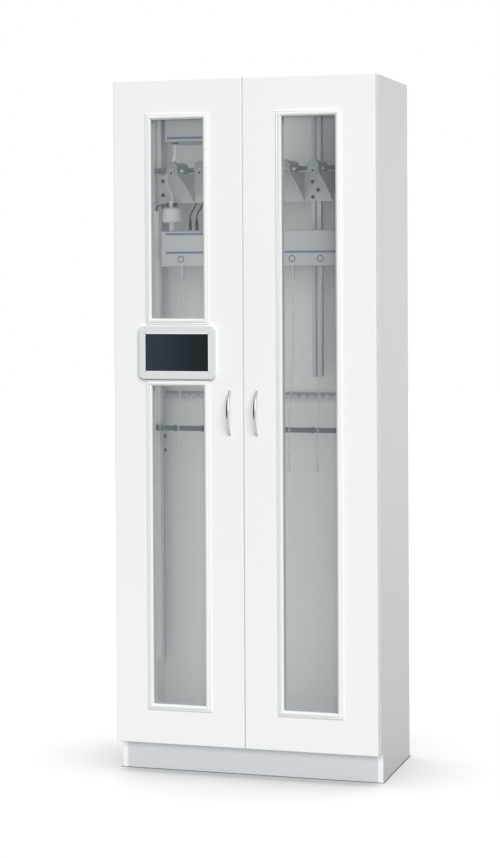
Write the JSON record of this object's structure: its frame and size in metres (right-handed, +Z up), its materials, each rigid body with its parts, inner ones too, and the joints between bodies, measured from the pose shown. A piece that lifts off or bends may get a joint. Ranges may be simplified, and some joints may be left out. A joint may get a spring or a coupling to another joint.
{
  "type": "endoscope drying cabinet",
  "caption": "Tall double-door cabinet that dries and stores hanging endoscopes: long windows, a door display, bow handles, cradles over an air manifold with drying tubes, and a divider bar.",
  "frame": {"origin": "at floor level, midway between the two sides, and midway between the handles' front and the back", "axes": "+X to the right seen from the front, +Y towards the back, +Z up; the doors face -Y"},
  "size_m": [0.82, 0.46, 2.1],
  "materials": {
    "cabinet_board": "white laminate, satin",
    "door_board": "white laminate, satin",
    "window_moulding": "white, semi-gloss",
    "window_glass": "clear float glass",
    "display_housing": "light grey, semi-gloss",
    "display_screen": "dark cover glass, gloss",
    "handle": "satin",
    "door_seal": "soft, matt",
    "hinge": "satin",
    "upright_profile": "natural anodised",
    "upright_cap": "matt",
    "hanger_plate": "light grey powder coat",
    "cradle": "fine matt",
    "hanging_rail": "dark grey, satin",
    "air_manifold": "light grey powder coat",
    "air_filter": "white, semi-gloss",
    "filter_clip": "black, matt",
    "air_line": "translucent silicone",
    "drying_tube": "translucent silicone",
    "lead": "black jacket",
    "cable_duct": "light grey",
    "perforated_strip": "galvanised",
    "divider_bar": "dark soft sleeves"
  },
  "bodies": {
    "cabinet": {"side_panel_left": "cabinet_board", "side_panel_right": "cabinet_board", "top_board": "cabinet_board", "bottom_board": "cabinet_board", "back_board": "cabinet_board", "plinth_board": "cabinet_board", "hinges_left_body_leaves": "hinge", "hinges_right_body_leaves": "hinge", "upright_left": "upright_profile", "upright_right": "upright_profile", "upright_mid_left": "upright_profile", "upright_mid_right": "upright_profile", "upright_caps": "upright_cap", "hanger_plate": "hanger_plate", "bar_brackets": "hanger_plate", "cradle_1": "cradle", "cradle_2": "cradle", "cradle_3": "cradle", "cradle_4": "cradle", "cradle_5": "cradle", "cradle_6": "cradle", "cradle_7": "cradle", "hanging_rail": "hanging_rail", "air_manifold": "air_manifold", "control_box": "air_manifold", "air_filter": "air_filter", "tube_tips": "air_filter", "filter_clip": "filter_clip", "lead_plugs": "filter_clip", "mains_inlet": "filter_clip", "air_line": "air_line", "drying_tube_1": "drying_tube", "drying_tube_2": "drying_tube", "drying_tube_3": "drying_tube", "drying_tube_4": "drying_tube", "drying_tube_5": "drying_tube", "drying_tube_6": "drying_tube", "drying_tube_7": "drying_tube", "control_lead_1": "lead", "control_lead_2": "lead", "sensor_lead": "lead", "cable_duct": "cable_duct", "perforated_strip": "perforated_strip", "divider_bar": "divider_bar"},
    "left_door": {"door_left": "door_board", "window_frame_upper": "window_moulding", "window_frame_lower": "window_moulding", "window_glass_upper": "window_glass", "window_glass_lower": "window_glass", "display_housing": "display_housing", "display_screen": "display_screen", "handle_left": "handle", "door_seal_left": "door_seal", "hinges_left_door_leaves": "hinge"},
    "right_door": {"door_right": "door_board", "window_frame_right": "window_moulding", "window_glass_right": "window_glass", "handle_right": "handle", "door_seal_right": "door_seal", "hinges_right_door_leaves": "hinge"}
  },
  "joints": [
    {"name": "left_door_hinge", "type": "hinge", "parent": "cabinet", "child": "left_door", "pos_m": [-0.407, -0.1735, 1.0955], "axis": [0, 0, -1], "range_deg": [0, 110]},
    {"name": "right_door_hinge", "type": "hinge", "parent": "cabinet", "child": "right_door", "pos_m": [0.407, -0.1735, 1.0955], "axis": [0, 0, 1], "range_deg": [0, 110]}
  ]
}
